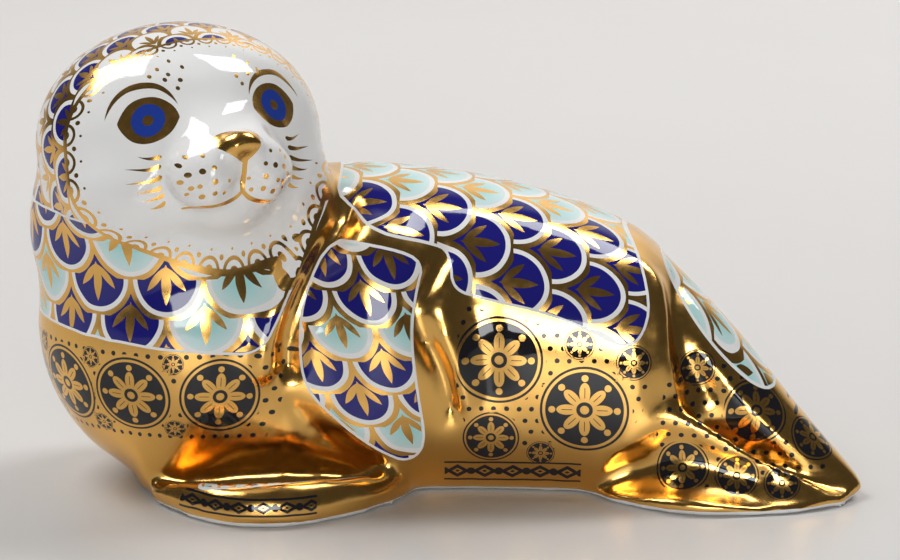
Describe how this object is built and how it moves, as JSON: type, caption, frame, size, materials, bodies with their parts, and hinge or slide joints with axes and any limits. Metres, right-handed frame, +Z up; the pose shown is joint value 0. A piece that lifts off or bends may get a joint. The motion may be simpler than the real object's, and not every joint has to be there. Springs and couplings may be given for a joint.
{
  "type": "seal pup paperweight",
  "caption": "Porcelain paperweight shaped as a seal pup lying on its belly, its head turned to the side, gilded and enamelled all over with a white face.",
  "frame": {"origin": "on the table plane under the middle of the seal's bounding box", "axes": "+Z up, +X from the head to the tail, -Y to the seal's left, the side the face looks to"},
  "size_m": [0.1286, 0.0736, 0.0722],
  "materials": {
    "porcelain": "glossy glazed porcelain, mostly burnished gold with cobalt, mint, white and black enamel"
  },
  "bodies": {
    "root": {"seal": "porcelain"}
  },
  "joints": []
}
